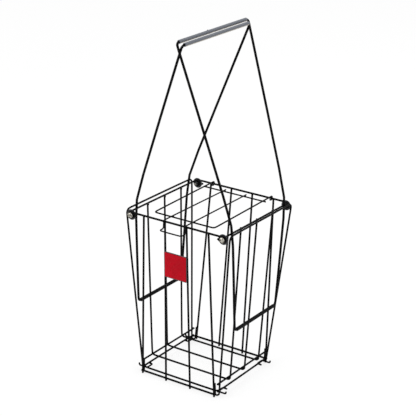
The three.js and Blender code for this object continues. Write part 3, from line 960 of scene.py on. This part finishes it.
# The studio: places in metres, lamps in watts, angles in degrees
FLOOR_SIZE = 60
FLOOR_GAP = 0.5 * MM
PAPER_GLOW = 0.8
AIR_LIGHT = 0.95
LIGHT_AIM = Vector((0, 0, 0.35))
LIGHTS = (
    # Name, place, size, power
    ("key_softbox", (-1.6, -2.2, 2.6), 1.6, 38),
    ("fill_softbox", (2.4, -1.2, 1.8), 1.8, 10),
    ("rim_softbox", (0.6, 2.4, 2.4), 1.4, 16),
)
CAMERA_YAW = 32.887
CAMERA_PITCH = 20.781
CAMERA_ROLL = 1.778
CAMERA_X = 1.5346
CAMERA_Y = -2.37334
# The sensor's width in millimetres, and the photograph's width and fitted focal length in its pixels
SENSOR_WIDTH = 36
PHOTO_WIDTH = 416
FOCAL_LENGTH = 1440


class HOPPER_OT_studio(bpy.types.Operator):
    """Sets the pale floor, the soft lights and the camera at the photograph's angle"""

    bl_idname = "hopper.studio"
    bl_label = "Studio"

    def execute(self, context):
        self.floor(context)
        self.air(context)
        self.lights()
        self.camera(context)
        context.scene.view_settings.view_transform = "Standard"
        return {"FINISHED"}

    def floor(self, context):
        """A wide sheet of paper, lit up to white for the camera, which keeps a part of the shadow."""
        deselect()
        bpy.ops.mesh.primitive_plane_add(size=FLOOR_SIZE, location=(0, 0, -FLOOR_GAP))
        floor = bpy.context.object
        floor.name = "studio_floor"
        colour = context.scene.hopper_colours.floor_colour
        material, tree, paper, _ = new_material("matt_studio_paper", {"Base Color": colour, "Roughness": 0.9})
        white = node(tree, "ShaderNodeEmission", {"Color": grey(1), "Strength": 1.0})
        rays = node(tree, "ShaderNodeLightPath")
        glow = node(
            tree, "ShaderNodeMath", {1: PAPER_GLOW}, {0: rays.outputs["Is Camera Ray"]}, operation="MULTIPLY"
        )
        links = {0: glow.outputs[0], 1: paper.outputs["BSDF"], 2: white.outputs["Emission"]}
        mix = node(tree, "ShaderNodeMixShader", links=links)
        link(tree, tree.nodes["Material Output"], {"Surface": mix.outputs[0]})
        floor.data.materials.append(material)

    def air(self, context):
        """An even light, which the camera and the metal see as white."""
        world = bpy.data.worlds.new("studio_air")
        world.use_nodes = True
        context.scene.world = world
        tree = world.node_tree
        tree.nodes.clear()
        rays = node(tree, "ShaderNodeLightPath")
        links = {0: rays.outputs["Is Camera Ray"], 1: rays.outputs["Is Glossy Ray"]}
        seen = node(tree, "ShaderNodeMath", links=links, operation="MAXIMUM")
        soft = node(tree, "ShaderNodeBackground", {"Color": grey(1), "Strength": AIR_LIGHT})
        white = node(tree, "ShaderNodeBackground", {"Color": grey(1), "Strength": 1.0})
        links = {0: seen.outputs[0], 1: soft.outputs[0], 2: white.outputs[0]}
        mix = node(tree, "ShaderNodeMixShader", links=links)
        node(tree, "ShaderNodeOutputWorld", links={"Surface": mix.outputs[0]})

    def lights(self):
        for name, place, size, power in LIGHTS:
            bpy.ops.object.light_add(type="AREA", location=place)
            lamp = bpy.context.object
            lamp.name = name
            lamp.data.size = size
            lamp.data.energy = power
            lamp.rotation_euler = (LIGHT_AIM - Vector(place)).to_track_quat("-Z", "Y").to_euler()

    def camera(self, context):
        """The photograph's camera, which looks down from the front right."""
        data = bpy.data.cameras.new("photograph_camera")
        data.sensor_fit = "HORIZONTAL"
        data.sensor_width = SENSOR_WIDTH
        data.lens = SENSOR_WIDTH * FOCAL_LENGTH / PHOTO_WIDTH
        data.clip_end = 100
        yaw, pitch, roll = (math.radians(angle) for angle in (CAMERA_YAW, CAMERA_PITCH, CAMERA_ROLL))
        flat = math.cos(pitch)
        forward = Vector((-math.sin(yaw) * flat, math.cos(yaw) * flat, -math.sin(pitch)))
        right = forward.cross(Z).normalized()
        up = right.cross(forward)
        leaning_right = right * math.cos(roll) + up * math.sin(roll)
        leaning_up = up * math.cos(roll) - right * math.sin(roll)
        turn = Matrix((leaning_right, leaning_up, -forward)).transposed().to_4x4()
        place = Vector((CAMERA_X, CAMERA_Y, context.scene.hopper_sizes.camera_height))
        camera = new_object("photograph_camera", data)
        camera.matrix_world = Matrix.Translation(place) @ turn
        context.scene.camera = camera


class HOPPER_PT_panel(bpy.types.Panel):
    """The hopper's settings and steps"""

    bl_idname = "HOPPER_PT_panel"
    bl_label = "Ball hopper"
    bl_space_type = "VIEW_3D"
    bl_region_type = "UI"
    bl_category = "Hopper"

    def draw(self, context):
        for group in (context.scene.hopper_sizes, context.scene.hopper_colours):
            for name in group.bl_rna.properties.keys():
                if name not in ("rna_type", "name"):
                    self.layout.prop(group, name)
        for operator in OPERATORS:
            self.layout.operator(operator.bl_idname)


OPERATORS = (
    HOPPER_OT_wires,
    HOPPER_OT_panels,
    HOPPER_OT_welds,
    HOPPER_OT_fastenings,
    HOPPER_OT_grips,
    HOPPER_OT_badge,
    HOPPER_OT_studio,
)
CLASSES = (HopperSizes, HopperColours) + OPERATORS + (HOPPER_PT_panel,)


def register():
    for item in CLASSES:
        bpy.utils.register_class(item)
    bpy.types.Scene.hopper_sizes = bpy.props.PointerProperty(type=HopperSizes)
    bpy.types.Scene.hopper_colours = bpy.props.PointerProperty(type=HopperColours)


def unregister():
    del bpy.types.Scene.hopper_colours
    del bpy.types.Scene.hopper_sizes
    for item in reversed(CLASSES):
        bpy.utils.unregister_class(item)


def main():
    register()
    bpy.ops.hopper.wires()
    bpy.ops.hopper.panels()
    bpy.ops.hopper.welds()
    bpy.ops.hopper.fastenings()
    bpy.ops.hopper.grips()
    bpy.ops.hopper.badge()
    bpy.ops.hopper.studio()


if __name__ == "__main__":
    main()
